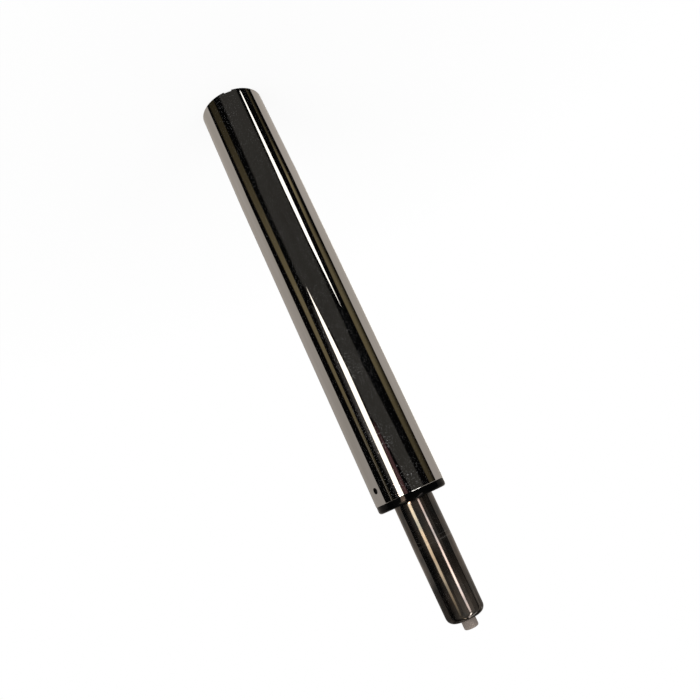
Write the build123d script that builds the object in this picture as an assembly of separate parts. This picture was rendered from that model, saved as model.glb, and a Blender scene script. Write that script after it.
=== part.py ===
from build123d import *
import os
from math import cos, pi, tan

# Chair gas lift cylinder, fully lowered. A chromed column stands on its base rim at
# z = 0, and the gas spring rises out of its mouth to the release button at the top.
# Everything is turned about Z. Lengths are in millimetres, angles in degrees.

# Column: 50 mm tube whose base end tapers to wedge into a chair base.
column_length = 323.0
column_diameter = 50.0
column_wall = 2.0
base_cone_length = 80.0
taper_share = 1 / 40            # diameter lost per length, on both standard cones
rim_chamfer = 0.6
mouth_chamfer = 0.4
plate_seat_height = 7.0         # the base plate lies this far inside the rim
seat_lip_depth = 1.0
seat_lip_height = 1.8
rim_notch_count = 3
rim_notch_width = 6.0
rim_notch_depth = 1.4
rim_notch_radius = 0.6
lug_hole_diameter = 4.5
lug_hole_below_mouth = 10.4
lug_count = 2
lug_azimuth = -35.6             # direction of the first lug hole, from +X

# Base plate: disc wedged in the column, which carries the rod's end.
plate_thickness = 3.0
plate_recess_depth = 0.5
plate_chamfer = 0.5

# Guide bush: moulded sleeve with ribs, snap lugs and a collar.
collar_height = 5.2
collar_inset = 0.2              # the collar's edge lies this far inside the column's skin
collar_radius = 2.0
collar_lead_in = 1.0
bush_depth = 90.0
bush_sleeve_wall = 2.95
bush_land_height = 24.0
bush_relief = 0.6
bush_ring_count = 4
bush_ring_height = 3.0
bush_web_count = 6
bush_web_width = 2.2
bush_web_inset = 0.8            # the webs stop this far short of the column's bore
lug_recess = 1.0                # the lug ends this far below the column's skin
lug_ramp = 1.6                  # the lug's lower side slopes back by this much
lug_clearance = 0.15
tongue_width = 9.0
tongue_thickness = 2.0
tongue_relief = 0.2             # the tongue's skin lies this far inside the rings'
tongue_above_lug = 4.4          # from the lug's centre to the tongue's free end
tongue_root_ring = 2            # the ring, counted from 0 at the foot, that carries it

# Gas spring tube: 28 mm, tapered and closed at the top, rolled in at the bottom.
tube_diameter = 28.0
tube_wall = 1.8
tube_straight_above_collar = 32.8
tube_reach = 87.9               # from the column's mouth to the tube's closed end
tube_roll_radius = 2.5
tube_roll_diameter = 21.0
tube_end_radius = 5.0
tube_mouth_diameter = 11.2
tube_lip_chamfer = 0.3

# Rod
rod_diameter = 10.0
stub_diameter = 8.0
clip_groove_diameter = 7.0
stub_recess = 2.2               # the rod's lower end lies this far inside the rim
tenon_diameter = 7.0
rod_chamfer = 0.6

# Clip and washers on the rod's lower end
clip_thickness = 0.9
clip_diameter = 14.3
clip_relief_diameter = 10.4
clip_mouth_width = 5.8
clip_lug_width = 2.6
clip_lug_count = 3              # the middle one lies opposite the mouth
base_washer_thickness = 1.2
base_washer_diameter = 17.0

# Thrust bearing
race_diameter = 24.0
race_thickness = 2.5
race_chamfer = 0.4
lower_race_bore = 8.8
ball_diameter = 4.0
ball_count = 8
ball_pitch_diameter = 17.0
groove_radius = 2.1
groove_depth = 0.8
cage_thickness = 1.4
cage_bore = 11.4
cage_diameter = 22.8
pocket_clearance = 0.15
support_washer_thickness = 2.0

# Bumper
bumper_height = 19.0
bumper_diameter = 25.0
bumper_waist_depth = 1.5
bumper_waist_height = 5.0
bumper_chamfer = 1.2

# Piston
piston_length = 20.0
piston_groove_depth = 1.8
piston_groove_height = 2.6
wear_groove_depth = 1.0
wear_groove_height = 5.0
piston_groove_inset = 4.0
wear_groove_inset = 10.0
piston_chamfer = 0.6
piston_washer_thickness = 1.5
piston_washer_diameter = 16.0
nut_sides = 6
nut_height = 5.0
nut_across_flats = 11.0
nut_chamfer = 0.8

# Inner cylinder and the stack that closes the tube's lower end
inner_cylinder_bore = 19.6
inner_cylinder_wall = 0.8
rod_guide_height = 12.0
guide_groove_depth = 1.0
guide_groove_height = 3.0
guide_chamfer = 1.0
rod_seal_height = 6.0
seal_cup_depth = 3.6
seal_lip_width = 1.6
seal_washer_thickness = 2.0
foot_flange_thickness = 2.0
foot_spigot_height = 2.7
foot_slot_count = 4
foot_slot_width = 3.0
foot_bore = 10.8

# Rubber rings: round before fitting, squeezed to a square with cut corners in their grooves
ring_corner_cut = 0.35

# Valve in the tube's closed end
dead_room = 40.0                # gas room left above the piston nut, fully lowered
valve_spigot_height = 3.0
valve_body_diameter = 23.0
valve_body_length = 50.0
valve_chamfer = 0.6
valve_chamber_diameter = 5.2
valve_chamber_depth = 17.0
valve_port_diameter = 2.0
valve_port_count = 2
valve_port_above_shoulder = 1.4
valve_ring_groove_depth = 1.0
valve_ring_groove_height = 2.2
valve_ring_above_shoulder = 4.5
valve_ring_spacing = 3.5
pin_diameter = 3.0
pin_head_diameter = 7.0
pin_head_height = 2.5
pin_head_chamfer = 0.8
pin_seal_width = 1.2
pin_seal_above_shoulder = 22.0
button_pocket_depth = 2.0

# Button
button_diameter = 10.1
button_travel = 3.0
button_protrusion = 6.6
button_edge_radius = 1.2
button_flange_diameter = 13.0
button_flange_thickness = 1.5
button_guide_diameter = 22.0
button_guide_height = 7.2
button_pocket_diameter = 13.8

# Fits and clearances
running_fit = 0.05              # radial, for a shaft that turns or slides in its hole
seated_gap = 0.05               # radial, for pieces of one body that seat in each other
axial_play = 0.1
stop_gap = 0.3                  # left at each end of the travel
free_gap = 0.6                  # radial, where a shaft passes without touching
overrun = 5.0                   # how far every cut runs past what it cuts

# Heights that follow from the sizes above
half_taper = taper_share / 2
plate_top = plate_seat_height + plate_thickness
lower_race_bottom = plate_top - plate_recess_depth
lower_race_top = lower_race_bottom + race_thickness
ball_radius = ball_diameter / 2
ball_height = lower_race_top - groove_depth + running_fit + ball_radius
upper_race_bottom = ball_height + ball_radius + running_fit - groove_depth
upper_race_top = upper_race_bottom + race_thickness
rod_shoulder = upper_race_top + support_washer_thickness
bumper_top = rod_shoulder + bumper_height
tube_bottom = bumper_top + stop_gap
tube_top = column_length + tube_reach
collar_top = column_length + collar_height
seat_cone_start = collar_top + tube_straight_above_collar
tube_inner_radius = tube_diameter / 2 - tube_wall
bush_bore_radius = tube_diameter / 2 + running_fit
bush_sleeve_radius = bush_bore_radius + bush_sleeve_wall
guide_bottom = tube_bottom + tube_wall
rod_seal_bottom = guide_bottom + rod_guide_height
seal_washer_bottom = rod_seal_bottom + rod_seal_height
foot_bottom = seal_washer_bottom + seal_washer_thickness
foot_shoulder = foot_bottom + foot_flange_thickness
foot_top = foot_shoulder + foot_spigot_height
guide_top = tube_top - tube_wall - stop_gap
valve_top = guide_top - button_guide_height
valve_shoulder = valve_top - valve_body_length
valve_spigot_bottom = valve_shoulder - valve_spigot_height
nut_top = valve_shoulder - dead_room
nut_bottom = nut_top - nut_height
piston_top = nut_bottom - piston_washer_thickness
piston_bottom = piston_top - piston_length
button_top = tube_top + button_protrusion
washer_top = plate_seat_height - axial_play
washer_bottom = washer_top - base_washer_thickness
clip_bottom = washer_bottom - axial_play - clip_thickness


def turned(*corners):
    """Ring or disc turned about Z. A corner is (radius, height) or (radius, height, rounding)."""
    points = [(corner[0], 0, corner[1]) for corner in corners]
    roundings = [corner[2] if len(corner) > 2 else 0 for corner in corners]
    outline = FilletPolyline(*points, radius=roundings, close=True)
    return revolve(make_face(outline), Axis.Z)


def around(count, piece, first=0.0):
    """Copies of a piece, evenly spread about Z."""
    return [Rot(Z=first + index * 360 / count) * piece for index in range(count)]


def rubber_ring(inside, outside, middle, height):
    """Ring of square section with its corners cut, centred on a height."""
    low = middle - height / 2
    high = middle + height / 2
    return turned(
        (inside + ring_corner_cut, low),
        (outside - ring_corner_cut, low),
        (outside, low + ring_corner_cut),
        (outside, high - ring_corner_cut),
        (outside - ring_corner_cut, high),
        (inside + ring_corner_cut, high),
        (inside, high - ring_corner_cut),
        (inside, low + ring_corner_cut),
    )


def write(shape, node):
    export_step(shape, f"parts/{node}.step")


def column_radius(height):
    """Outer radius of the column at a height, on the cone or above it."""
    return column_diameter / 2 - max(base_cone_length - height, 0) * half_taper


def column_bore(height):
    return column_radius(height) - column_wall


def make_column_tube():
    lip_bottom = plate_seat_height - seat_lip_height
    lip_radius = column_bore(plate_seat_height) - seat_lip_depth
    tube = turned(
        (column_radius(0) - rim_chamfer, 0),
        (column_radius(0), rim_chamfer),
        (column_radius(base_cone_length), base_cone_length),
        (column_diameter / 2, column_length - mouth_chamfer),
        (column_diameter / 2 - mouth_chamfer, column_length),
        (column_bore(column_length) + mouth_chamfer, column_length),
        (column_bore(column_length), column_length - mouth_chamfer),
        (column_bore(base_cone_length), base_cone_length),
        (column_bore(plate_seat_height), plate_seat_height),
        (lip_radius, plate_seat_height),
        (lip_radius, lip_bottom),
        (column_bore(0), lip_bottom - seat_lip_depth),
        (column_bore(0), 0),
    )
    notch = Pos(column_radius(0), 0, 0) * Box(
        column_wall * 2 + rim_chamfer, rim_notch_width, rim_notch_depth * 2
    )
    notch = fillet(notch.edges().filter_by(Axis.X).group_by(Axis.Z)[-1], rim_notch_radius)
    tube -= around(rim_notch_count, notch, lug_azimuth + 180)
    hole_height = column_length - lug_hole_below_mouth
    hole = Pos(column_diameter / 2, 0, hole_height) * Rot(Y=90) * Cylinder(
        lug_hole_diameter / 2, column_wall * 2 + overrun
    )
    return tube - around(lug_count, hole, lug_azimuth)


def make_base_plate():
    rim_bottom = column_bore(plate_seat_height) - seated_gap
    rim_top = column_bore(plate_top) - seated_gap
    bore = stub_diameter / 2 + running_fit
    recess = race_diameter / 2 + seated_gap
    return turned(
        (bore + plate_chamfer, plate_seat_height),
        (rim_bottom, plate_seat_height),
        (rim_top, plate_top),
        (recess, plate_top),
        (recess, lower_race_bottom),
        (bore, lower_race_bottom),
        (bore, plate_seat_height + plate_chamfer),
    )


def race(back, face, bore):
    """Race ring. Its back lies flat and its face carries the groove for the balls."""
    inward = race_chamfer if face > back else -race_chamfer
    ring = turned(
        (bore, back),
        (race_diameter / 2, back),
        (race_diameter / 2, face - inward),
        (race_diameter / 2 - race_chamfer, face),
        (bore, face),
    )
    groove = Pos(0, 0, face + (groove_radius - groove_depth) * (1 if face > back else -1))
    return ring - groove * Torus(ball_pitch_diameter / 2, groove_radius)


def make_lower_race():
    return race(lower_race_bottom, lower_race_top, lower_race_bore / 2)


def make_upper_race():
    return race(upper_race_top, upper_race_bottom, stub_diameter / 2 + seated_gap)


def make_bearing_balls():
    ball = Pos(ball_pitch_diameter / 2, 0, ball_height) * Sphere(ball_radius)
    return Compound(children=around(ball_count, ball))


def make_ball_cage():
    low = ball_height - cage_thickness / 2
    high = ball_height + cage_thickness / 2
    ring = turned(
        (cage_bore / 2, low),
        (cage_diameter / 2, low),
        (cage_diameter / 2, high),
        (cage_bore / 2, high),
    )
    pocket = Pos(ball_pitch_diameter / 2, 0, ball_height) * Cylinder(
        ball_radius + pocket_clearance, cage_thickness + overrun
    )
    return ring - around(ball_count, pocket)


def make_support_washer():
    bore = stub_diameter / 2 + seated_gap
    return turned(
        (bore, upper_race_top),
        (race_diameter / 2, upper_race_top),
        (race_diameter / 2, rod_shoulder),
        (bore, rod_shoulder),
    )


def make_bumper():
    """Rubber ring with a waist, so that it bulges evenly when the tube lands on it."""
    bore = rod_diameter / 2 + seated_gap
    radius = bumper_diameter / 2
    middle = (rod_shoulder + bumper_top) / 2
    waist = bumper_waist_height / 2
    return turned(
        (bore, rod_shoulder),
        (radius - bumper_chamfer, rod_shoulder),
        (radius, rod_shoulder + bumper_chamfer),
        (radius, middle - waist),
        (radius - bumper_waist_depth, middle, waist),
        (radius, middle + waist),
        (radius, bumper_top - bumper_chamfer),
        (radius - bumper_chamfer, bumper_top),
        (bore, bumper_top),
    )


def make_base_washer():
    bore = stub_diameter / 2 + seated_gap
    return turned(
        (bore, washer_bottom),
        (base_washer_diameter / 2, washer_bottom),
        (base_washer_diameter / 2, washer_top),
        (bore, washer_top),
    )


def make_retaining_clip():
    """Snap clip: a ring with an open mouth and three lugs that reach into the groove."""
    groove = clip_groove_diameter / 2 + seated_gap
    outside = clip_diameter / 2
    outline = Circle(outside) - Circle(clip_relief_diameter / 2)
    mouth = Pos(outside, 0) * Rectangle(clip_diameter, clip_mouth_width)
    lug_root = (outside + clip_relief_diameter / 2) / 2
    lug = Pos(lug_root / 2, 0) * Rectangle(lug_root, clip_lug_width)
    lugs = around(clip_lug_count, lug, 180 / clip_lug_count)
    flat = (outline + lugs) - mouth - Circle(groove)
    return Pos(0, 0, clip_bottom) * extrude(flat, clip_thickness)


def make_piston_rod():
    stub = stub_diameter / 2
    rod = rod_diameter / 2
    tenon = tenon_diameter / 2
    groove = clip_groove_diameter / 2
    groove_bottom = clip_bottom - axial_play / 2
    groove_top = clip_bottom + clip_thickness + axial_play / 2
    return turned(
        (0, stub_recess),
        (stub - rod_chamfer, stub_recess),
        (stub, stub_recess + rod_chamfer),
        (stub, groove_bottom),
        (groove, groove_bottom),
        (groove, groove_top),
        (stub, groove_top),
        (stub, rod_shoulder),
        (rod, rod_shoulder),
        (rod, piston_bottom),
        (tenon, piston_bottom),
        (tenon, nut_top),
        (tenon - rod_chamfer, nut_top + rod_chamfer),
        (0, nut_top + rod_chamfer),
    )


def make_piston():
    bore = tenon_diameter / 2 + seated_gap
    skin = inner_cylinder_bore / 2 - running_fit
    seal_low = piston_bottom + piston_groove_inset
    seal_high = seal_low + piston_groove_height
    wear_low = piston_bottom + wear_groove_inset
    wear_high = wear_low + wear_groove_height
    return turned(
        (bore, piston_bottom),
        (skin - piston_chamfer, piston_bottom),
        (skin, piston_bottom + piston_chamfer),
        (skin, seal_low),
        (skin - piston_groove_depth, seal_low),
        (skin - piston_groove_depth, seal_high),
        (skin, seal_high),
        (skin, wear_low),
        (skin - wear_groove_depth, wear_low),
        (skin - wear_groove_depth, wear_high),
        (skin, wear_high),
        (skin, piston_top - piston_chamfer),
        (skin - piston_chamfer, piston_top),
        (bore, piston_top),
    )


def make_piston_seal():
    """Ring that fills its groove and just clears the inner cylinder."""
    skin = inner_cylinder_bore / 2 - running_fit
    inside = skin - piston_groove_depth + seated_gap
    middle = piston_bottom + piston_groove_inset + piston_groove_height / 2
    return rubber_ring(inside, skin, middle, piston_groove_height - seated_gap * 2)


def make_wear_ring():
    skin = inner_cylinder_bore / 2 - running_fit
    low = piston_bottom + wear_groove_inset + seated_gap
    high = low + wear_groove_height - seated_gap * 2
    inside = skin - wear_groove_depth + seated_gap
    return turned((inside, low), (skin, low), (skin, high), (inside, high))


def make_piston_washer():
    bore = tenon_diameter / 2 + seated_gap
    return turned(
        (bore, piston_top),
        (piston_washer_diameter / 2, piston_top),
        (piston_washer_diameter / 2, nut_bottom),
        (bore, nut_bottom),
    )


def make_piston_nut():
    """Hexagon nut with its corners chamfered off at the top."""
    corner = nut_across_flats / 2 / cos(pi / nut_sides)
    hexagon = extrude(RegularPolygon(corner, nut_sides), nut_height)
    crown = turned(
        (0, 0),
        (corner, 0),
        (corner, nut_height - nut_chamfer * tan(pi / nut_sides)),
        (corner - nut_chamfer, nut_height),
        (0, nut_height),
    )
    bore = Cylinder(tenon_diameter / 2 + seated_gap, nut_height * 2 + overrun)
    return Pos(0, 0, nut_bottom) * ((hexagon & crown) - bore)


def tube_radius(height):
    """Outer radius of the gas spring tube at a height, on its cone or below it."""
    return tube_diameter / 2 - max(height - seat_cone_start, 0) * half_taper


def make_pressure_tube():
    """Drawn tube, rolled in at the bottom. Its flat top has a mouth for the button."""
    outer = tube_diameter / 2
    roll = tube_roll_diameter / 2
    mouth = tube_mouth_diameter / 2
    end = tube_radius(tube_top)
    return turned(
        (roll, tube_bottom),
        (outer, tube_bottom, tube_roll_radius),
        (outer, seat_cone_start),
        (end, tube_top, tube_end_radius),
        (mouth + tube_lip_chamfer, tube_top),
        (mouth, tube_top - tube_lip_chamfer),
        (mouth, tube_top - tube_wall),
        (end - tube_wall, tube_top - tube_wall, tube_end_radius - tube_wall),
        (tube_inner_radius, seat_cone_start),
        (tube_inner_radius, tube_bottom + tube_wall),
        (roll, tube_bottom + tube_wall),
    )


def make_inner_cylinder():
    bore = inner_cylinder_bore / 2
    return turned(
        (bore, foot_shoulder),
        (bore + inner_cylinder_wall, foot_shoulder),
        (bore + inner_cylinder_wall, valve_shoulder),
        (bore, valve_shoulder),
    )


def make_rod_guide():
    bore = rod_diameter / 2 + running_fit
    skin = tube_inner_radius - seated_gap
    middle = guide_bottom + rod_guide_height / 2
    return turned(
        (bore, guide_bottom),
        (skin - guide_chamfer, guide_bottom),
        (skin, guide_bottom + guide_chamfer),
        (skin, middle - guide_groove_height / 2),
        (skin - guide_groove_depth, middle - guide_groove_height / 2),
        (skin - guide_groove_depth, middle + guide_groove_height / 2),
        (skin, middle + guide_groove_height / 2),
        (skin, rod_seal_bottom),
        (bore, rod_seal_bottom),
    )


def make_rod_seal():
    """Cup seal, open towards the gas, with one lip on the rod and one on the tube."""
    bore = rod_diameter / 2 + running_fit
    skin = tube_inner_radius - seated_gap
    cup_bottom = seal_washer_bottom - seal_cup_depth
    return turned(
        (bore, rod_seal_bottom),
        (skin, rod_seal_bottom),
        (skin, seal_washer_bottom),
        (skin - seal_lip_width / 2, seal_washer_bottom),
        (skin - seal_lip_width, cup_bottom),
        (bore + seal_lip_width, cup_bottom),
        (bore + seal_lip_width / 2, seal_washer_bottom),
        (bore, seal_washer_bottom),
    )


def make_seal_washer():
    bore = rod_diameter / 2 + free_gap
    skin = tube_inner_radius - seated_gap
    return turned(
        (bore, seal_washer_bottom),
        (skin, seal_washer_bottom),
        (skin, foot_bottom),
        (bore, foot_bottom),
    )


def make_cylinder_foot():
    """Stepped ring under the inner cylinder, slotted so that gas can pass round its end."""
    bore = foot_bore / 2
    skin = tube_inner_radius - seated_gap
    spigot = inner_cylinder_bore / 2 - seated_gap
    ring = turned(
        (bore, foot_bottom),
        (skin, foot_bottom),
        (skin, foot_shoulder),
        (spigot, foot_shoulder),
        (spigot, foot_top),
        (bore, foot_top),
    )
    slot = Pos((bore + skin) / 2, 0, foot_bottom) * Box(
        skin - bore + overrun, foot_slot_width, foot_flange_thickness
    )
    return ring - around(foot_slot_count, slot)


def ring_heights():
    first = valve_shoulder + valve_ring_above_shoulder
    return [first, first + valve_ring_spacing]


def make_valve_body():
    body = valve_body_diameter / 2
    spigot = inner_cylinder_bore / 2 - seated_gap
    seat = valve_chamber_diameter / 2
    pin = pin_diameter / 2 + running_fit
    pocket = button_pocket_diameter / 2
    block = turned(
        (seat, valve_spigot_bottom),
        (spigot, valve_spigot_bottom),
        (spigot, valve_shoulder),
        (body, valve_shoulder),
        (body, valve_top - valve_chamfer),
        (body - valve_chamfer, valve_top),
        (pocket, valve_top),
        (pocket, valve_top - button_pocket_depth),
        (pin, valve_top - button_pocket_depth),
        (pin, valve_spigot_bottom + valve_chamber_depth),
        (seat, valve_spigot_bottom + valve_chamber_depth),
    )
    port = Pos(body / 2, 0, valve_shoulder + valve_port_above_shoulder) * (
        Rot(Y=90) * Cylinder(valve_port_diameter / 2, body)
    )
    block -= around(valve_port_count, port)
    for height in ring_heights():
        low = height - valve_ring_groove_height / 2
        high = height + valve_ring_groove_height / 2
        root = body - valve_ring_groove_depth
        block -= turned((root, low), (body + overrun, low), (body + overrun, high), (root, high))
    low = pin_seal_height() - pin_seal_width / 2 - seated_gap
    high = pin_seal_height() + pin_seal_width / 2 + seated_gap
    root = pin + pin_seal_width + seated_gap
    return block - turned((0, low), (root, low), (root, high), (0, high))


def pin_seal_height():
    return valve_shoulder + pin_seal_above_shoulder


def make_valve_rings():
    inside = valve_body_diameter / 2 - valve_ring_groove_depth + seated_gap
    outside = tube_inner_radius - seated_gap
    width = valve_ring_groove_height - seated_gap * 2
    rings = [rubber_ring(inside, outside, height, width) for height in ring_heights()]
    return Compound(children=rings)


def make_pin_seal():
    inside = pin_diameter / 2 + running_fit
    return rubber_ring(inside, inside + pin_seal_width, pin_seal_height(), pin_seal_width)


def make_valve_pin():
    """Pin under the button. Its mushroom head shuts the seat from below."""
    pin = pin_diameter / 2
    head = pin_head_diameter / 2
    head_top = valve_spigot_bottom - axial_play
    return turned(
        (0, head_top - pin_head_height),
        (head - pin_head_chamfer, head_top - pin_head_height),
        (head, head_top - pin_head_height + pin_head_chamfer),
        (head, head_top),
        (pin, head_top),
        (pin, button_flange_bottom()),
        (0, button_flange_bottom()),
    )


def button_flange_bottom():
    """The flange hangs just under the guide's ceiling, and clears its pocket when pressed."""
    return valve_top - button_pocket_depth + button_travel + stop_gap


def make_release_button():
    shaft = button_diameter / 2
    flange = button_flange_diameter / 2
    low = button_flange_bottom()
    return turned(
        (0, low),
        (flange, low),
        (flange, low + button_flange_thickness),
        (shaft, low + button_flange_thickness),
        (shaft, button_top, button_edge_radius),
        (0, button_top),
    )


def make_button_guide():
    """Disc on the valve body. Its bore guides the button, and its ceiling keeps the button in."""
    bore = button_diameter / 2 + running_fit
    skin = button_guide_diameter / 2
    pocket = button_pocket_diameter / 2
    ceiling = button_flange_bottom() + button_flange_thickness + axial_play
    return turned(
        (pocket, valve_top),
        (skin, valve_top),
        (skin, guide_top, tube_end_radius - tube_wall - stop_gap),
        (bore, guide_top),
        (bore, ceiling),
        (pocket, ceiling),
    )


def ring_bottom(index):
    """Height of a ring of the bush. They are evenly spread from its foot to the collar."""
    pitch = (bush_depth - bush_ring_height) / (bush_ring_count - 1)
    return column_length - bush_depth + index * pitch


def bush_ring(index, skin):
    low = ring_bottom(index)
    high = low + bush_ring_height
    inside = bush_sleeve_radius - bush_relief
    return turned((inside, low), (skin, low), (skin, high), (inside, high))


def snap_tongue(skin):
    """Tongue on a ring of the bush, with a ramped round lug that snaps into the column."""
    height = column_length - lug_hole_below_mouth
    low = ring_bottom(tongue_root_ring) + bush_ring_height / 2
    high = height + tongue_above_lug
    outside = skin - tongue_relief
    inside = outside - tongue_thickness
    band = turned((inside, low), (outside, low), (outside, high), (inside, high))
    tongue = band & Pos(skin / 2, 0, (low + high) / 2) * Box(skin, tongue_width, high - low)
    radius = lug_hole_diameter / 2 - lug_clearance
    reach = column_diameter / 2 - lug_recess
    root = outside - tongue_thickness / 2
    side = Polyline(
        (root, 0, height - radius),
        (reach - lug_ramp, 0, height - radius),
        (reach, 0, height),
        (reach, 0, height + radius),
        (root, 0, height + radius),
        close=True,
    )
    wedge = extrude(make_face(side), radius, both=True)
    boss = Pos(reach / 2, 0, height) * Rot(Y=90) * Cylinder(radius, reach)
    return tongue + (boss & wedge)


def make_guide_bush():
    """Moulded bush: bored sleeve with two lands, rings, webs, snap tongues and a collar."""
    bottom = ring_bottom(0)
    sleeve = bush_sleeve_radius
    skin = column_bore(column_length) - seated_gap
    bore = bush_bore_radius
    relief = bore + bush_relief
    collar = column_diameter / 2 - collar_inset
    bush = turned(
        (relief, bottom),
        (sleeve, bottom),
        (sleeve, column_length),
        (collar, column_length),
        (collar, collar_top, collar_radius),
        (bore + collar_lead_in, collar_top),
        (bore, collar_top - collar_lead_in),
        (bore, collar_top - bush_land_height),
        (relief, collar_top - bush_land_height - bush_relief),
        (relief, bottom + bush_land_height + bush_relief),
        (bore, bottom + bush_land_height),
        (bore, bottom + bush_relief),
    )
    web_inside = sleeve - bush_relief
    web_outside = skin - bush_web_inset
    web = Pos((web_inside + web_outside) / 2, 0, bottom + bush_depth / 2) * Box(
        web_outside - web_inside, bush_web_width, bush_depth
    )
    bush += [bush_ring(index, skin) for index in range(bush_ring_count)]
    bush += around(bush_web_count, web, lug_azimuth + 180 / bush_web_count)
    return bush + around(lug_count, snap_tongue(skin), lug_azimuth)


os.makedirs("parts", exist_ok=True)
write(make_column_tube(), "column_tube")
write(make_base_plate(), "base_plate")
write(make_guide_bush(), "guide_bush")
write(make_lower_race(), "lower_race")
write(make_bearing_balls(), "bearing_balls")
write(make_ball_cage(), "ball_cage")
write(make_upper_race(), "upper_race")
write(make_support_washer(), "support_washer")
write(make_bumper(), "bumper")
write(make_base_washer(), "base_washer")
write(make_retaining_clip(), "retaining_clip")
write(make_piston_rod(), "piston_rod")
write(make_piston(), "piston")
write(make_piston_seal(), "piston_seal")
write(make_wear_ring(), "wear_ring")
write(make_piston_washer(), "piston_washer")
write(make_piston_nut(), "piston_nut")
write(make_pressure_tube(), "pressure_tube")
write(make_inner_cylinder(), "inner_cylinder")
write(make_rod_guide(), "rod_guide")
write(make_rod_seal(), "rod_seal")
write(make_seal_washer(), "seal_washer")
write(make_cylinder_foot(), "cylinder_foot")
write(make_valve_body(), "valve_body")
write(make_valve_rings(), "valve_rings")
write(make_pin_seal(), "pin_seal")
write(make_valve_pin(), "valve_pin")
write(make_button_guide(), "button_guide")
write(make_release_button(), "release_button")

lift_travel = piston_bottom - foot_top - stop_gap
print(f"Travel of the lift: {lift_travel:.1f} mm, of the button: {button_travel:.1f} mm")
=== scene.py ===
from math import cos, radians, sin

import bmesh
import bpy
from mathutils import Matrix, Vector


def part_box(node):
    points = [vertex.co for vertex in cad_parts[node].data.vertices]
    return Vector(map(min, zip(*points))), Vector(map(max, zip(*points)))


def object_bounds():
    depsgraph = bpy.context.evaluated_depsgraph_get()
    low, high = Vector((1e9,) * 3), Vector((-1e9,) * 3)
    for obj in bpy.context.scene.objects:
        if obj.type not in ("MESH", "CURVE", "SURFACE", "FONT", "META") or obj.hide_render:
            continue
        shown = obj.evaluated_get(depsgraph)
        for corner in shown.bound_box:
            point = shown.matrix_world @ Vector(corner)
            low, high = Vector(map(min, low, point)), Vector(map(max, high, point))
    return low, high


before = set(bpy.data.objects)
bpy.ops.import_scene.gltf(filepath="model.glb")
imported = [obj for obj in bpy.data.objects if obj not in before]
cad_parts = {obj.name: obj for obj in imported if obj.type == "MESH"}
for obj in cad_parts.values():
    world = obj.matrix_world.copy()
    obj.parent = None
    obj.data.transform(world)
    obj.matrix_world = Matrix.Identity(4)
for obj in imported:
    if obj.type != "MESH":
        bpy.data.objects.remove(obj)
cad_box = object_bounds()


# Column tube: a 50 mm steel tube, swaged to a cone at its base end, ground, polished and chromed.
# The plate is thin and mirror-bright outside, with rings left by the polishing belt, fine dust
# and wiped smears. Inside, the tube is bare drawn steel.

def start_material(name):
    """New material, with its node tree, its shader and the coordinates that patterns read."""
    material = bpy.data.materials.new(name)
    material.use_nodes = True
    tree = material.node_tree
    place = tree.nodes.new("ShaderNodeTexCoord").outputs["Object"]
    return material, tree, tree.nodes["Principled BSDF"], place


def noise(tree, place, waves, stretch=(1, 1, 1), detail=3):
    """Smooth noise of 0 to 1, with waves per metre along an axis whose stretch is 1."""
    mapping = tree.nodes.new("ShaderNodeMapping")
    mapping.inputs["Scale"].default_value = stretch
    tree.links.new(place, mapping.inputs["Vector"])
    texture = tree.nodes.new("ShaderNodeTexNoise")
    texture.inputs["Scale"].default_value = waves
    texture.inputs["Detail"].default_value = detail
    tree.links.new(mapping.outputs["Vector"], texture.inputs["Vector"])
    return texture.outputs["Fac"]


def rescale(tree, value, from_range, to_range):
    """The value moved from one range to another, and held at that range's ends."""
    node = tree.nodes.new("ShaderNodeMapRange")
    node.inputs["From Min"].default_value, node.inputs["From Max"].default_value = from_range
    node.inputs["To Min"].default_value, node.inputs["To Max"].default_value = to_range
    tree.links.new(value, node.inputs["Value"])
    return node.outputs["Result"]


def mix_colours(tree, share, first, second):
    """The first colour where the share is 0, and the second where it is 1."""
    node = tree.nodes.new("ShaderNodeMix")
    node.data_type = "RGBA"
    tree.links.new(share, node.inputs["Factor"])
    for socket, colour in ((node.inputs["A"], first), (node.inputs["B"], second)):
        if isinstance(colour, tuple):
            socket.default_value = (*colour, 1)
        else:
            tree.links.new(colour, socket)
    return node.outputs["Result"]


def mix_values(tree, share, first, second):
    """The first value where the share is 0, and the second where it is 1."""
    node = tree.nodes.new("ShaderNodeMix")
    sockets = (node.inputs["Factor"], node.inputs["A"], node.inputs["B"])
    for socket, value in zip(sockets, (share, first, second)):
        if isinstance(value, (int, float)):
            socket.default_value = value
        else:
            tree.links.new(value, socket)
    return node.outputs["Result"]


def multiply(tree, first, second):
    """The product of two values."""
    node = tree.nodes.new("ShaderNodeMath")
    node.operation = "MULTIPLY"
    tree.links.new(first, node.inputs[0])
    tree.links.new(second, node.inputs[1])
    return node.outputs["Value"]


def add(tree, first, second):
    """The sum of two values, held at 1."""
    node = tree.nodes.new("ShaderNodeMath")
    node.operation = "ADD"
    node.use_clamp = True
    tree.links.new(first, node.inputs[0])
    tree.links.new(second, node.inputs[1])
    return node.outputs["Value"]


def raise_bumps(tree, shader, height, depth):
    """Bump from a height of 0 to 1, where 1 stands proud by the depth."""
    bump = tree.nodes.new("ShaderNodeBump")
    bump.inputs["Distance"].default_value = depth
    tree.links.new(height, bump.inputs["Height"])
    tree.links.new(bump.outputs["Normal"], shader.inputs["Normal"])


def distance_from_axis(tree, place):
    """Distance from the axis that the whole lift is turned about, in metres."""
    flat = tree.nodes.new("ShaderNodeVectorMath")
    flat.operation = "MULTIPLY"
    flat.inputs[1].default_value = (1, 1, 0)
    tree.links.new(place, flat.inputs[0])
    length = tree.nodes.new("ShaderNodeVectorMath")
    length.operation = "LENGTH"
    tree.links.new(flat.outputs["Vector"], length.inputs[0])
    return length.outputs["Value"]


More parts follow.
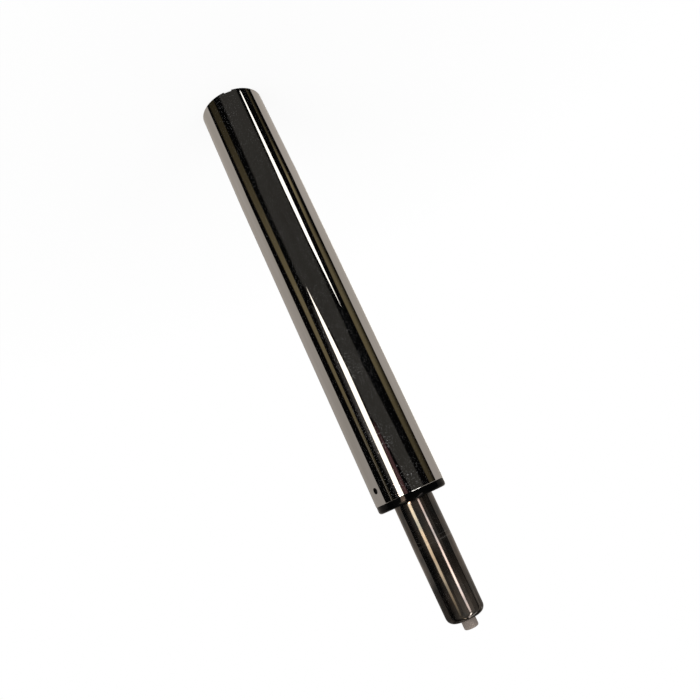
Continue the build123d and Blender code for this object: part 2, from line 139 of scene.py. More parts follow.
def along(tree, place, axis):
    """Distance along one axis from the middle of the column's base rim, in metres."""
    axes = tree.nodes.new("ShaderNodeSeparateXYZ")
    tree.links.new(place, axes.inputs["Vector"])
    return axes.outputs[axis]


def specks(tree, place, per_metre, size_share):
    """1 in small round specks scattered over the surface, and 0 elsewhere."""
    cells = tree.nodes.new("ShaderNodeTexVoronoi")
    cells.inputs["Scale"].default_value = per_metre
    tree.links.new(place, cells.inputs["Vector"])
    return rescale(tree, cells.outputs["Distance"], (size_share, size_share / 2), (0, 1))


def paint(material, *nodes):
    """Gives the CAD nodes this material."""
    for node in nodes:
        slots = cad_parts[node].data.materials
        slots.clear()
        slots.append(material)


CHROME = (0.60, 0.60, 0.61)
CHROME_WARMER = (0.57, 0.57, 0.57)
CHROME_STREAK = (0.53, 0.53, 0.52)
CHROME_ROUGHNESS = (0.01, 0.035)
BELT_RING_DEPTH = 0.0000002
BARE_STEEL = (0.30, 0.29, 0.28)
BARE_ROUGHNESS = 0.38
DUST = (0.42, 0.41, 0.38)
DUST_ROUGHNESS = 0.5
DUST_PATCHES = (0.02, 0.3)
DUST_FILM = (0, 0.016)
COLUMN_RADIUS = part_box("column_tube")[1].x
COLUMN_WALL = 0.002
DUSTY_HEIGHTS = (0.14, 0.22)
CRUMB_HEIGHTS = (0.28, 0.30)
DUSTY_SIDE = (-0.84 * COLUMN_RADIUS, -0.94 * COLUMN_RADIUS)

chrome, tree, shader, place = start_material("chrome")
smears = noise(tree, place, waves=60, stretch=(1, 1, 0.35))
smear_share = rescale(tree, smears, (0.45, 0.75), (0, 1))
wiped = noise(tree, place, waves=260, stretch=(1, 1, 0.04))
streaks = rescale(tree, wiped, (0.35, 0.7), (0, 1))
radius = distance_from_axis(tree, place)
wall = (COLUMN_RADIUS - COLUMN_WALL / 2, COLUMN_RADIUS - COLUMN_WALL * 0.9)
inside = rescale(tree, radius, wall, (0, 1))
height = along(tree, place, "Z")
by_height = rescale(tree, height, DUSTY_HEIGHTS, (0.35, 1))
dust_patches = rescale(tree, noise(tree, place, waves=45), (0.42, 0.62), DUST_PATCHES)
dust = multiply(tree, specks(tree, place, per_metre=900, size_share=0.3), dust_patches)
near_mouth = rescale(tree, height, CRUMB_HEIGHTS, (0, 0.5))
crumb_patches = rescale(tree, noise(tree, place, waves=70), (0.48, 0.6), (0, 1))
crumbs = multiply(tree, specks(tree, place, per_metre=330, size_share=0.18), crumb_patches)
loose = add(tree, multiply(tree, dust, by_height), multiply(tree, crumbs, near_mouth))
dusty = multiply(tree, loose, rescale(tree, along(tree, place, "Y"), DUSTY_SIDE, (0.06, 1)))
film = rescale(tree, noise(tree, place, waves=900, detail=4), (0.5, 0.72), DUST_FILM)
plate = mix_colours(tree, smear_share, CHROME, CHROME_WARMER)
plate = mix_colours(tree, streaks, plate, CHROME_STREAK)
metal = mix_colours(tree, inside, plate, BARE_STEEL)
dull = add(tree, dusty, film)
tree.links.new(mix_colours(tree, dull, metal, DUST), shader.inputs["Base Color"])
polish = rescale(tree, smears, (0.3, 0.8), CHROME_ROUGHNESS)
dulled = mix_values(tree, dusty, polish, DUST_ROUGHNESS)
tree.links.new(mix_values(tree, inside, dulled, BARE_ROUGHNESS), shader.inputs["Roughness"])
tree.links.new(mix_values(tree, dull, 1, 0), shader.inputs["Metallic"])
belt_rings = noise(tree, place, waves=40, stretch=(1, 1, 60), detail=2)
raise_bumps(tree, shader, belt_rings, BELT_RING_DEPTH)
paint(chrome, "column_tube")


# Guide bush: one nylon moulding, filled with carbon black, pressed into the column's mouth.
# Only its collar shows, and through the two small holes the lugs that hold it. Moulded, so it
# has a slight gloss and a faint flow pattern.

BLACK_NYLON = (0.0015, 0.0015, 0.0015)
BLACK_NYLON_RUBBED = (0.003, 0.003, 0.003)
BLACK_NYLON_SHINE = 0.06
BLACK_NYLON_ROUGHNESS = (0.06, 0.11)
BLACK_NYLON_GRAIN_DEPTH = 0.000002

black_nylon, tree, shader, place = start_material("black_nylon")
flow = noise(tree, place, waves=90, stretch=(1, 1, 0.5))
rubbed = rescale(tree, flow, (0.5, 0.8), (0, 1))
skin = mix_colours(tree, rubbed, BLACK_NYLON, BLACK_NYLON_RUBBED)
tree.links.new(skin, shader.inputs["Base Color"])
gloss = rescale(tree, flow, (0.3, 0.8), BLACK_NYLON_ROUGHNESS)
tree.links.new(gloss, shader.inputs["Roughness"])
shader.inputs["Specular IOR Level"].default_value = BLACK_NYLON_SHINE
raise_bumps(tree, shader, noise(tree, place, waves=2500), BLACK_NYLON_GRAIN_DEPTH)
paint(black_nylon, "guide_bush")


# Pressure tube of the gas spring: drawn steel with a slight taper and a closed flat top, in a
# dark glossy coat. The drawing leaves faint stripes along it, and handling leaves fine scratches
# round it, dull patches and two thin scuffs.

def band(tree, value, middle, half_width):
    """1 where the value lies within half the width of the middle, and 0 elsewhere."""
    node = tree.nodes.new("ShaderNodeMath")
    node.operation = "COMPARE"
    tree.links.new(value, node.inputs[0])
    node.inputs[1].default_value = middle
    node.inputs[2].default_value = half_width
    return node.outputs["Value"]


COAT = (0.112, 0.094, 0.082)
COAT_COOLER = (0.080, 0.084, 0.086)
COAT_WORN = (0.165, 0.145, 0.130)
COAT_ROUGHNESS = (0.05, 0.13)
COAT_DOTS = (0, 0.35)
COAT_FILM = (0.01, 0.06)
COAT_SCUFFS = (0, 0.12)
DRAWN_SHARE = 0.3
SCRATCH_DEPTH = 0.0000005
TUBE_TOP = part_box("pressure_tube")[1].z
SCUFF_RINGS = ((TUBE_TOP - 0.0531, 0.0005), (TUBE_TOP - 0.0561, 0.0002))

tube_coating, tree, shader, place = start_material("tube_coating")
handling = noise(tree, place, waves=160, stretch=(1, 1, 0.6), detail=6)
drawn = noise(tree, place, waves=420, stretch=(1, 1, 0.05), detail=2)
worn = rescale(tree, mix_values(tree, DRAWN_SHARE, handling, drawn), (0.42, 0.66), (0, 1))
mottle = noise(tree, place, waves=75, stretch=(1, 1, 0.6))
coat = mix_colours(tree, rescale(tree, mottle, (0.42, 0.6), (0, 1)), COAT, COAT_COOLER)
base = mix_colours(tree, worn, coat, COAT_WORN)
dusty = rescale(tree, noise(tree, place, waves=90), (0.5, 0.7), COAT_DOTS)
dots = multiply(tree, specks(tree, place, per_metre=900, size_share=0.2), dusty)
film = rescale(tree, noise(tree, place, waves=1600, detail=6), (0.4, 0.75), COAT_FILM)
height = along(tree, place, "Z")
rubbed = noise(tree, place, waves=130, stretch=(1, 1, 0.2))
rings = add(tree, *(band(tree, height, *ring) for ring in SCUFF_RINGS))
scuffs = multiply(tree, rings, rescale(tree, rubbed, (0.46, 0.62), COAT_SCUFFS))
dull = add(tree, add(tree, dots, film), scuffs)
tree.links.new(mix_colours(tree, dull, base, DUST), shader.inputs["Base Color"])
gloss = rescale(tree, handling, (0.3, 0.8), COAT_ROUGHNESS)
tree.links.new(gloss, shader.inputs["Roughness"])
tree.links.new(mix_values(tree, dull, 1, 0), shader.inputs["Metallic"])
scratches = noise(tree, place, waves=50, stretch=(1, 1, 40), detail=6)
raise_bumps(tree, shader, scratches, SCRATCH_DEPTH)
paint(tube_coating, "pressure_tube")


# Release button: a plain nylon pin in taupe, moulded with a rounded rim, that the seat's lever
# pushes down. Its skin is matte, with the fine grain of the mould and a random mottle, and its
# colour is made darker towards its foot, where it goes into the tube's mouth.

TAUPE = (0.235, 0.195, 0.168)
TAUPE_DARKER = (0.185, 0.154, 0.134)
TAUPE_ROUGHNESS = (0.45, 0.6)
BUTTON_GRAIN_DEPTH = 0.000008
DARKER_FOOT_HEIGHTS = (TUBE_TOP + 0.0015, TUBE_TOP)
DARKER_FOOT_SHARE = (0, 0.8)

button_grey, tree, shader, place = start_material("button_grey")
# Darker towards the foot: over the last 1.5 mm above the tube's top, the taupe turns to the darker
# shade.
near_foot = rescale(tree, along(tree, place, "Z"), DARKER_FOOT_HEIGHTS, DARKER_FOOT_SHARE)
mottle = noise(tree, place, waves=400)
skin = mix_colours(tree, rescale(tree, mottle, (0.3, 0.8), (0, 0.4)), TAUPE, TAUPE_DARKER)
tree.links.new(mix_colours(tree, near_foot, skin, TAUPE_DARKER), shader.inputs["Base Color"])
gloss = rescale(tree, mottle, (0.3, 0.7), TAUPE_ROUGHNESS)
tree.links.new(gloss, shader.inputs["Roughness"])
raise_bumps(tree, shader, noise(tree, place, waves=4000), BUTTON_GRAIN_DEPTH)
paint(button_grey, "release_button")


# Pressed and turned steel: the base plate, the washers, the nut and the inner cylinder. Most
# are zinc plated, with a soft crystalline mottle and the faint lines of the press or lathe.

TURNING_LINES = 3000
TURNING_LINE_DEPTH = 0.000002


def mottle_skin(tree, shader, mottle, colour, darker, roughness):
    """Colours the skin in two shades, rougher in the darker one."""
    shade = rescale(tree, mottle, (0.35, 0.7), (0, 1))
    tree.links.new(mix_colours(tree, shade, colour, darker), shader.inputs["Base Color"])
    tree.links.new(rescale(tree, mottle, (0.3, 0.7), roughness), shader.inputs["Roughness"])


def turning_place(tree, place):
    """Coordinates that hold only the distance from the axis and the height."""
    joined = tree.nodes.new("ShaderNodeCombineXYZ")
    tree.links.new(distance_from_axis(tree, place), joined.inputs["X"])
    tree.links.new(along(tree, place, "Z"), joined.inputs["Y"])
    return joined.outputs["Vector"]


def metal_material(name, colour, darker, roughness, grain):
    """Bare or plated metal with a mottle and fine turning lines."""
    material, tree, shader, place = start_material(name)
    mottle = noise(tree, place, waves=grain, detail=5)
    mottle_skin(tree, shader, mottle, colour, darker, roughness)
    shader.inputs["Metallic"].default_value = 1
    lines = noise(tree, turning_place(tree, place), waves=TURNING_LINES, detail=2)
    raise_bumps(tree, shader, lines, TURNING_LINE_DEPTH)
    return material


paint(
    metal_material(
        "plain_steel", colour=(0.50, 0.50, 0.51), darker=(0.38, 0.38, 0.40),
        roughness=(0.25, 0.45), grain=700,
    ),
    "base_plate", "support_washer", "base_washer", "piston_washer", "piston_nut",
    "inner_cylinder", "seal_washer",
)


# Thrust bearing: two hardened steel rings with ground grooves, and polished steel balls between
# them, kept apart by a snap-in cage of natural nylon. The piston's wear ring and the button's
# guide are moulded in the same nylon.

FINE_GRAIN = 8


def plastic_material(name, colour, darker, roughness, grain, depth):
    """Moulded plastic or rubber with a mottle and a finer grain that stands proud."""
    material, tree, shader, place = start_material(name)
    mottle = noise(tree, place, waves=grain)
    mottle_skin(tree, shader, mottle, colour, darker, roughness)
    raise_bumps(tree, shader, noise(tree, place, waves=grain * FINE_GRAIN), depth)
    return material


paint(
    metal_material(
        "bearing_steel", colour=(0.60, 0.60, 0.61), darker=(0.52, 0.52, 0.54),
        roughness=(0.08, 0.2), grain=500,
    ),
    "lower_race", "upper_race", "bearing_balls",
)
paint(
    plastic_material(
        "natural_nylon", colour=(0.62, 0.60, 0.54), darker=(0.55, 0.52, 0.45),
        roughness=(0.35, 0.5), grain=300, depth=0.000006,
    ),
    "ball_cage", "wear_ring", "button_guide",
)


# Rubber parts: the bumper that the tube lands on, and the seals and rings, which are moulded
# in black nitrile rubber and lie greased in their grooves.

paint(
    plastic_material(
        "rubber", colour=(0.020, 0.020, 0.021), darker=(0.035, 0.034, 0.033),
        roughness=(0.5, 0.75), grain=250, depth=0.00001,
    ),
    "bumper", "piston_seal", "rod_seal", "valve_rings", "pin_seal",
)


# Rod, clip and valve pin: the rod is hard chromed and ground, the snap clip in its groove and
# the pin under the button are oiled spring steel.

paint(
    metal_material(
        "hard_chrome", colour=(0.60, 0.60, 0.62), darker=(0.56, 0.56, 0.58),
        roughness=(0.05, 0.12), grain=200,
    ),
    "piston_rod",
)
paint(
    metal_material(
        "spring_steel", colour=(0.13, 0.125, 0.12), darker=(0.08, 0.078, 0.075),
        roughness=(0.25, 0.45), grain=600,
    ),
    "retaining_clip", "valve_pin",
)


# Turned fittings inside the pressure tube: an aluminium piston, foot and valve body with
# lathe lines, and a sintered bronze guide for the rod, which is porous and holds its own oil.

paint(
    metal_material(
        "aluminium", colour=(0.68, 0.68, 0.69), darker=(0.60, 0.60, 0.62),
        roughness=(0.22, 0.36), grain=400,
    ),
    "piston", "cylinder_foot", "valve_body",
)
paint(
    metal_material(
        "bronze", colour=(0.52, 0.36, 0.17), darker=(0.38, 0.25, 0.12),
        roughness=(0.35, 0.55), grain=1500,
    ),
    "rod_guide",
)


# Floor: a white sweep that runs far out in every direction. Lenses see it nearly as white as
# the backdrop, with the lift's soft shadow on it, and metal reflects the studio's screens
# behind it instead.

def seen_by_lens(tree):
    """1 for what a lens, a mirror or glass sees, and 0 for light that is scattered."""
    rays = tree.nodes.new("ShaderNodeLightPath")
    seen = rays.outputs["Is Camera Ray"]
    for kind in ("Is Glossy Ray", "Is Transmission Ray"):
        node = tree.nodes.new("ShaderNodeMath")
        node.operation = "MAXIMUM"
        tree.links.new(seen, node.inputs[0])
        tree.links.new(rays.outputs[kind], node.inputs[1])
        seen = node.outputs["Value"]
    return seen


def mix_shaders(tree, share, first, second):
    """The first shader where the share is 0, and the second where it is 1."""
    mix = tree.nodes.new("ShaderNodeMixShader")
    tree.links.new(share, mix.inputs["Fac"])
    tree.links.new(first, mix.inputs[1])
    tree.links.new(second, mix.inputs[2])
    return mix.outputs["Shader"]


FLOOR_SPAN = 18.0
FLOOR_CELLS = 4
FLOOR_TINT = (0.94, 0.94, 0.94)
FLOOR_TINT_DARKER = (0.9212, 0.9212, 0.9212)
FLOOR_ROUGHNESS = 0.9
WHITE_BY_DISTANCE = (0.9, 1)
WHITE_REACH = 0.5

mesh = bpy.data.meshes.new("floor")
floor_mesh = bmesh.new()
bmesh.ops.create_grid(
    floor_mesh, x_segments=FLOOR_CELLS, y_segments=FLOOR_CELLS, size=FLOOR_SPAN / 2
)
floor_mesh.to_mesh(mesh)
floor_mesh.free()
floor = bpy.data.objects.new("floor", mesh)
bpy.context.scene.collection.objects.link(floor)
floor.visible_glossy = False
floor_white, tree, shader, place = start_material("floor_white")
weave = rescale(tree, noise(tree, place, waves=3), (0.3, 0.7), (0, 1))
tint = mix_colours(tree, weave, FLOOR_TINT, FLOOR_TINT_DARKER)
tree.links.new(tint, shader.inputs["Base Color"])
shader.inputs["Roughness"].default_value = FLOOR_ROUGHNESS
shader.inputs["Specular IOR Level"].default_value = 0
far_out = rescale(tree, distance_from_axis(tree, place), (0, WHITE_REACH), WHITE_BY_DISTANCE)
share = multiply(tree, seen_by_lens(tree), far_out)
white = tree.nodes.new("ShaderNodeEmission")
surface = mix_shaders(tree, share, shader.outputs["BSDF"], white.outputs["Emission"])
tree.links.new(surface, tree.nodes["Material Output"].inputs["Surface"])
mesh.materials.append(floor_white)


# Screens: polished metal shows what stands round it, so the lift is ringed by screens, as for
# any photograph of chrome. They are seen in reflections alone. A dark one stands behind the
# camera, a pale taupe one behind the lift, and narrow lit and tinted ones in front of the dark.

def glowing_stage(name, mesh, colour):
    """Stage object that shines by its mesh's own glow attribute, seen in reflections alone."""
    material = bpy.data.materials.new(name)
    material.use_nodes = True
    tree = material.node_tree
    tree.nodes.remove(tree.nodes["Principled BSDF"])
    glow = tree.nodes.new("ShaderNodeAttribute")
    glow.attribute_name = "glow"
    light = tree.nodes.new("ShaderNodeEmission")
    light.inputs["Color"].default_value = (*colour, 1)
    tree.links.new(glow.outputs["Fac"], light.inputs["Strength"])
    tree.links.new(light.outputs["Emission"], tree.nodes["Material Output"].inputs["Surface"])
    mesh.materials.append(material)
    glowing = bpy.data.objects.new(name, mesh)
    bpy.context.scene.collection.objects.link(glowing)
    glowing.visible_camera = False
    glowing.visible_diffuse = False
    glowing.visible_transmission = False
    glowing.visible_volume_scatter = False
    glowing.visible_shadow = False


SCREEN_COLUMNS = 24


def screen(name, distance, colour, *stations, soft_left=0.0, soft_right=0.0):
    """Upright curved screen round the lift, through stations from its foot to its head.

    A station is (height, left edge, right edge, glow). The edges are angles round the axis from
    the camera's side, in degrees, positive towards the right of the photograph. A soft edge
    fades in over that share of the width.
    """
    rows = len(stations) - 1
    mesh = bpy.data.meshes.new(name)
    sheet = bmesh.new()
    bmesh.ops.create_grid(sheet, x_segments=SCREEN_COLUMNS, y_segments=rows, size=1)
    glow = sheet.verts.layers.float.new("glow")
    for vertex in sheet.verts:
        across = (vertex.co.x + 1) / 2
        height, left, right, strength = stations[round((vertex.co.y + 1) / 2 * rows)]
        fade_left = min(across / soft_left, 1) if soft_left else 1
        fade_right = min((1 - across) / soft_right, 1) if soft_right else 1
        vertex[glow] = strength * fade_left * fade_right
        angle = radians(left + (right - left) * across)
        vertex.co = (-distance * sin(angle), -distance * cos(angle), height)
    sheet.to_mesh(mesh)
    sheet.free()
    glowing_stage(name, mesh, colour)


DISC_SIDES = 64


def roof_disc(name, centre, radius, colour):
    """Level disc above the lift, seen in reflections alone."""
    mesh = bpy.data.meshes.new(name)
    disc = bmesh.new()
    bmesh.ops.create_circle(disc, cap_ends=True, segments=DISC_SIDES, radius=radius)
    glow = disc.verts.layers.float.new("glow")
    for vertex in disc.verts:
        vertex[glow] = 1
    bmesh.ops.translate(disc, verts=disc.verts, vec=centre)
    disc.to_mesh(mesh)
    disc.free()
    glowing_stage(name, mesh, colour)


FOOT = -7.0
HEAD = 2.6
WALL_DISTANCE = 3.4
REAR_DISTANCE = 3.3
CHARCOAL_DISTANCE = 3.2
TINT_DISTANCE = 3.1
HALO_DISTANCE = 3.05
STRIP_DISTANCE = 3.0
GLINT_DISTANCE = 2.8
DARK = (0.002, 0.002, 0.002)
TAUPE_WALL = (0.53, 0.475, 0.42)
CHARCOAL = (0.044, 0.041, 0.036)
OLIVE = (0.187, 0.149, 0.079)
MAROON = (0.105, 0.052, 0.050)
HALO = (0.11, 0.10, 0.09)
LAMP_WHITE = (2.3, 2.2, 2.0)
LAMP_CREAM = (2.4, 2.2, 1.9)
LAMP_BROWN = (72, 50, 37)

screen(
    "dark_screen", WALL_DISTANCE, DARK,
    (FOOT, -87, 107, 1), (-1.7, -90.1, 104.3, 1), (-1.2, -89.5, 101.2, 1),
    (-0.8, -89.4, 100.2, 1), (-0.4, -88.8, 100.1, 1), (0, -88.3, 100.7, 1),
    (0.3, -88.3, 101.5, 1), (HEAD, -88.3, 101.5, 1),
)
screen(
    "taupe_screen_right", WALL_DISTANCE, TAUPE_WALL,
    (FOOT, 107, 180, 1), (-1.7, 104.3, 180, 1.02), (-1.2, 101.2, 180, 1),
    (-0.8, 100.2, 180, 1), (-0.4, 100.1, 180, 0.96), (0, 100.7, 180, 0.92),
    (0.3, 101.5, 180, 0.87), (HEAD, 101.5, 180, 0.87),
)
screen(
    "taupe_screen_left", WALL_DISTANCE, TAUPE_WALL,
    (FOOT, 180, 273, 0.93), (-1.7, 180, 269.9, 0.95), (-1.2, 180, 270.5, 0.91),
    (-0.8, 180, 270.6, 0.89), (-0.4, 180, 271.2, 0.83), (0, 180, 271.7, 0.81),
    (0.3, 180, 271.7, 0.79), (HEAD, 180, 271.7, 0.79),
)
screen("rear_dark_screen", REAR_DISTANCE, DARK, (FOOT, 164, 196, 1), (HEAD, 164, 196, 1))
screen(
    "rear_lit_strip", CHARCOAL_DISTANCE, LAMP_WHITE,
    (-2.2, 168, 172, 1), (1.5, 166, 174, 1),
)
screen(
    "charcoal_screen", CHARCOAL_DISTANCE, CHARCOAL,
    (FOOT, -10, 47, 1.1), (-2.4, -26, 46, 1.05), (-1.4, -37, 45, 0.9), (-0.95, -37, 43, 0.9),
    (-0.6, -14, 40, 0.92), (-0.38, -14, 38, 0.95), (-0.15, -13, 44, 1), (0, -8, 47, 1),
    (0.09, 0, 47, 1.02), (0.34, 8, 51, 1.1), (HEAD, 8, 60, 1.1),
    soft_left=0.08, soft_right=0.08,
)
screen(
    "olive_screen_left", TINT_DISTANCE, OLIVE,
    (FOOT, -82, -50, 0.5), (-3, -82, -50, 0.2), (-2.4, -82, -50, 0.1), (-1.4, -76, -49, 0.5),
    (-0.8, -69, -51, 1.05), (-0.2, -67, -55, 0.95), (0.2, -66, -57, 0.25),
    (0.34, -66, -57, 0.2), (HEAD, -66, -57, 0.6),
    soft_left=0.2, soft_right=0.1,
)
screen(
    "olive_screen_right", TINT_DISTANCE, OLIVE,
    (FOOT, 81, 94, 0.5), (-2.6, 81, 94, 0.12), (-1.85, 80, 93, 0.35), (-1.5, 77, 90, 1.6),
    (-1.2, 73, 91, 0.85), (-0.8, 69, 97, 0.85), (-0.35, 69, 97, 0.85), (0, 70, 98, 0.53),
    (0.34, 72, 99, 0.33), (HEAD, 72, 99, 0.8),
    soft_left=0.1, soft_right=0.6,
)
screen(
    "maroon_screen", TINT_DISTANCE, MAROON,
    (-0.07, -17, -5, 0.3), (0.09, -17, -3, 0.9), (0.34, -19, -3, 1), (1.5, -19, -6, 0.1),
    soft_left=0.3, soft_right=0.3,
)
screen(
    "thin_lit_strip", STRIP_DISTANCE, TAUPE_WALL,
    (-0.1, -63, -62.5, 0.8), (HEAD, -64, -61.5, 0.8),
)
screen(
    "lit_strip_right", STRIP_DISTANCE, LAMP_WHITE,
    (-2.13, 55, 58.5, 1), (-1.75, 49.5, 59, 1), (-1.4, 46.2, 58.8, 1),
    (-1.05, 46.8, 56.4, 1), (-0.75, 52, 54.4, 1), (-0.66, 53.5, 53.5, 1),
)
screen(
    "lit_strip_left", STRIP_DISTANCE, LAMP_CREAM,
    (-0.84, -25, -25, 1), (-0.62, -28.5, -19, 1), (-0.36, -30.1, -14.8, 1), (-0.1, -31.8, -16.4, 1),
    (0.34, -34.1, -18.9, 1), (HEAD, -36, -24, 1),
)
screen(
    "strip_halo", HALO_DISTANCE, HALO,
    (-0.75, -40, -24, 0.3), (-0.36, -47, -26, 0.5), (0, -47, -28, 0.85), (0.15, -47, -28, 0.7),
    (0.34, -46, -30, 0.2), (HEAD, -46, -30, 0.2),
    soft_left=0.5,
)
roof_disc("roof", centre=(0, 0, HEAD), radius=WALL_DISTANCE, colour=DARK)
screen(
    "collar_glint", GLINT_DISTANCE, LAMP_BROWN,
    (0.328, -34, -20, 1), (0.357, -34, -20, 1),
)


# Tent: the tube is darker than the column and shows a brighter place, so a narrow tent of screens
# of its own hangs round it, from just above the collar. Lamps inside it put the glints on the
# tube's rounded end and on the chamfer of the column's mouth.

COLLAR_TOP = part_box("guide_bush")[1].z
TENT_FOOT = COLLAR_TOP + 0.0014
TENT_TOP = 0.70
TENT_RADIUS = 0.065
TENT_WALLS = 0.063
TENT_SMOKE = 0.0615
TENT_MOUTH = 0.061
TENT_STRIPS = 0.060
TENT_LAMPS = 0.0595
SMOKE = (0.20, 0.18, 0.157)
LAMP_SAND = (6.4, 5.5, 4.1)
LAMP_PINK = (7.4, 6.5, 6.2)
LAMP_ROOF = (12, 11.4, 10.6)
LAMP_MOUTH = (5.0, 4.8, 4.5)
MOUTH_SPOT_PLACE = (-0.043, -0.0205, 0.697)
MOUTH_SPOT_RADIUS = 0.018

screen("tent", TENT_RADIUS, DARK, (TENT_FOOT, -180, 180, 1), (TENT_TOP, -180, 180, 1))
roof_disc("tent_roof", centre=(0, 0, TENT_TOP), radius=TENT_RADIUS, colour=DARK)
screen(
    "tent_taupe_right", TENT_WALLS, TAUPE_WALL,
    (TENT_FOOT, 84.8, 180, 0.78), (0.362, 84.8, 180, 0.8), (0.376, 83.8, 180, 1),
    (0.393, 85.6, 180, 0.7), (0.420, 86.6, 180, 0.45), (0.446, 86.6, 180, 0.5),
    (0.465, 86.6, 180, 0.08), (0.500, 86.6, 180, 0.12), (0.560, 85.6, 180, 0.7),
    (TENT_TOP, 84.8, 180, 0.8),
)
screen(
    "tent_taupe_left", TENT_WALLS, TAUPE_WALL,
    (TENT_FOOT, 180, 275.2, 0.76), (0.359, 180, 275.2, 0.74), (0.376, 180, 276.2, 0.95),
    (0.384, 180, 276.2, 0.85), (0.395, 180, 275.2, 0.3), (0.420, 180, 275.2, 0.2),
    (0.446, 180, 275.2, 0.35), (0.465, 180, 275.2, 0.08), (0.500, 180, 275.2, 0.12),
    (0.560, 180, 275.2, 0.6), (TENT_TOP, 180, 275.2, 0.75),
)
screen(
    "smoke_left", TENT_SMOKE, SMOKE,
    (TENT_FOOT, -65.9, -7.1, 1), (0.360, -64, -7.1, 0.85), (0.374, -62.5, -7.1, 0.3),
    (0.387, -62.5, -7.1, 0.35), (0.398, -62.5, -7.1, 0.8), (0.420, -62.5, -7.1, 1.2),
    (0.446, -62.5, -7.1, 1.8), (0.470, -62.5, -7.1, 1.1), (TENT_TOP, -62.5, -7.1, 1.1),
    soft_left=0.5,
)
screen(
    "smoke_middle", TENT_SMOKE, SMOKE,
    (TENT_FOOT, -7.1, 45.4, 1), (0.360, -7.1, 45.4, 1), (0.374, -7.1, 46.3, 0.42),
    (0.385, -7.1, 48.1, 0.45), (0.398, -7.1, 51.5, 1.5), (0.420, -7.1, 51.5, 2.4),
    (0.446, -7.1, 51.5, 1.8), (0.470, -7.1, 51.5, 1.1), (TENT_TOP, -7.1, 51.5, 1.1),
)
screen(
    "smoke_right", TENT_SMOKE, SMOKE,
    (TENT_FOOT, 45.4, 82.7, 0.25), (0.360, 45.4, 82.7, 0.22), (0.374, 46.3, 82.7, 0.3),
    (0.385, 48.1, 82.7, 0.4), (0.398, 51.5, 82.7, 0.8), (0.420, 51.5, 82.7, 1.1),
    (0.446, 51.5, 82.7, 1.3), (0.470, 51.5, 82.7, 1.1), (TENT_TOP, 51.5, 82.7, 1.1),
    soft_right=0.15,
)
screen(
    "sand_strip", TENT_STRIPS, LAMP_SAND,
    (TENT_FOOT, -35.6, -18.2, 1.25), (0.358, -35.4, -18.5, 0.9), (0.3845, -35, -19.5, 0.5),
    (0.404, -32.7, -20.3, 0.2), (0.419, -31.9, -22.2, 0.05), (0.490, -31.4, -22.8, 0.08),
    (0.560, -35, -19, 0.4), (TENT_TOP, -35, -19, 0.8),
    soft_left=0.15, soft_right=0.15,
)
screen(
    "pink_strip", TENT_STRIPS, LAMP_PINK,
    (TENT_FOOT, 18.5, 29.2, 0.75), (0.366, 19.5, 30.1, 0.85), (0.397, 19, 31.4, 1.3),
    (0.402, 18.5, 32.2, 1.2), (0.406, 18.8, 32.3, 0.8), (0.4157, 21.5, 31.8, 0.6),
    (0.4206, 25.7, 31, 0.5), (0.4404, 27.4, 30.1, 0.4), (0.490, 25.5, 31.5, 0.4),
    (0.535, 20, 31.5, 0.75), (TENT_TOP, 19, 30, 0.9),
    soft_left=0.2, soft_right=0.2,
)
screen(
    "end_glint", TENT_LAMPS, LAMP_ROOF,
    (0.430, 26, 32, 0.02), (0.456, 22.5, 35, 1), (0.475, 22.5, 35, 1), (0.505, 25, 32, 0.02),
)
screen(
    "corner_glint", TENT_STRIPS, LAMP_WHITE,
    (0.429, 101.9, 109.4, 0.4), (0.442, 125.6, 137.2, 0.3),
)
screen(
    "mouth_line", TENT_MOUTH, TAUPE_WALL,
    (0.3845, 102.3, 112.3, 1), (0.404, 94.3, 104.3, 1), (0.4403, 85.3, 95.3, 1),
    (0.4822, 80.3, 90.3, 1),
)
screen(
    "mouth_lamp", TENT_LAMPS, LAMP_MOUTH,
    (0.470, 80.5, 89.5, 0.05), (0.4884, 79.1, 88.1, 0.8), (0.5403, 75.1, 84.1, 1),
    (0.6008, 71.7, 80.7, 1), (TENT_TOP, 69, 78, 1),
)
roof_disc("mouth_spot", MOUTH_SPOT_PLACE, MOUTH_SPOT_RADIUS, LAMP_MOUTH)


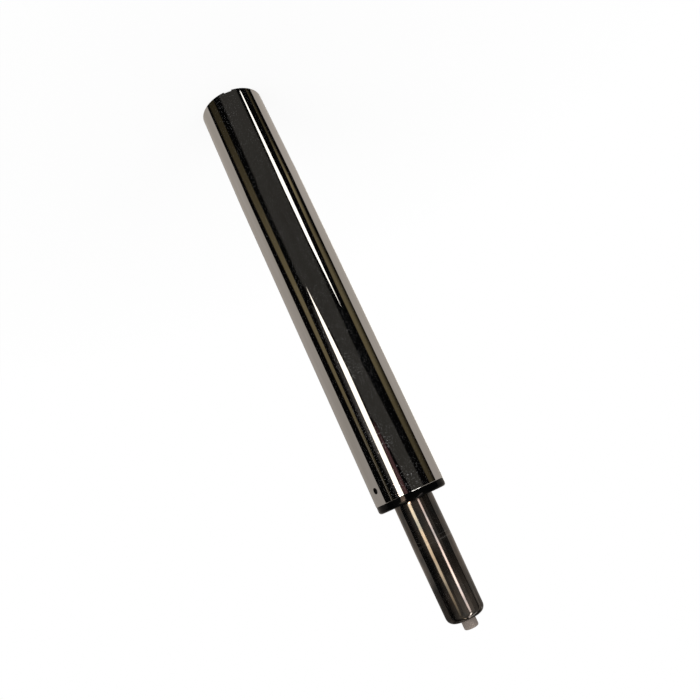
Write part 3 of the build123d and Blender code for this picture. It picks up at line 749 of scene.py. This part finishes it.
# Lamps and backdrop: a large soft lamp stands high in front, to one side, and a weaker one lower
# on the other. A backdrop lights the shadow sides, and lenses, mirrors and glass see it white.

def soft_lamp(name, place, power, width):
    """Square area lamp, aimed at the middle of the lift and not seen in reflections."""
    light = bpy.data.lights.new(name, "AREA")
    light.energy = power
    light.size = width
    lamp = bpy.data.objects.new(name, light)
    bpy.context.scene.collection.objects.link(lamp)
    middle = (cad_box[0] + cad_box[1]) / 2
    lamp.location = place
    lamp.rotation_euler = (Vector(place) - middle).to_track_quat("Z", "Y").to_euler()
    lamp.visible_glossy = False


BACKDROP_WHITE = (1, 1, 1, 1)
BACKDROP_LIGHT = 0.65

soft_lamp("key_lamp", place=(1.1, -1.3, 1.5), power=14, width=1.2)
soft_lamp("fill_lamp", place=(-1.4, -0.8, 1.0), power=5, width=1.0)
world = bpy.data.worlds.new("backdrop")
bpy.context.scene.world = world
world.use_nodes = True
tree = world.node_tree
soft = tree.nodes["Background"]
soft.inputs["Color"].default_value = BACKDROP_WHITE
soft.inputs["Strength"].default_value = BACKDROP_LIGHT
white = tree.nodes.new("ShaderNodeBackground")
white.inputs["Color"].default_value = BACKDROP_WHITE
surface = mix_shaders(
    tree, seen_by_lens(tree), soft.outputs["Background"], white.outputs["Background"]
)
tree.links.new(surface, tree.nodes["World Output"].inputs["Surface"])
bpy.context.scene.view_settings.view_transform = "Standard"


# Camera: level with the column's mouth, half a metre off, and rolled so far that the lift
# hangs button down across the picture. Its angles are in degrees, its lens and sensor in mm.

CAMERA_PLACE = (0, -0.4890, 0.3233)
PAN = 0.48
TILT = -12.50
ROLL = 155.07
LENS = 36.0
SENSOR = 36.0

camera_data = bpy.data.cameras.new("camera")
camera_data.lens = LENS
camera_data.sensor_width = SENSOR
camera = bpy.data.objects.new("camera", camera_data)
bpy.context.scene.collection.objects.link(camera)
turn = Matrix.Rotation(radians(PAN), 4, "Z") @ Matrix.Rotation(radians(90 + TILT), 4, "X")
turn @= Matrix.Rotation(radians(ROLL), 4, "Z")
camera.matrix_world = Matrix.Translation(CAMERA_PLACE) @ turn
bpy.context.scene.camera = camera
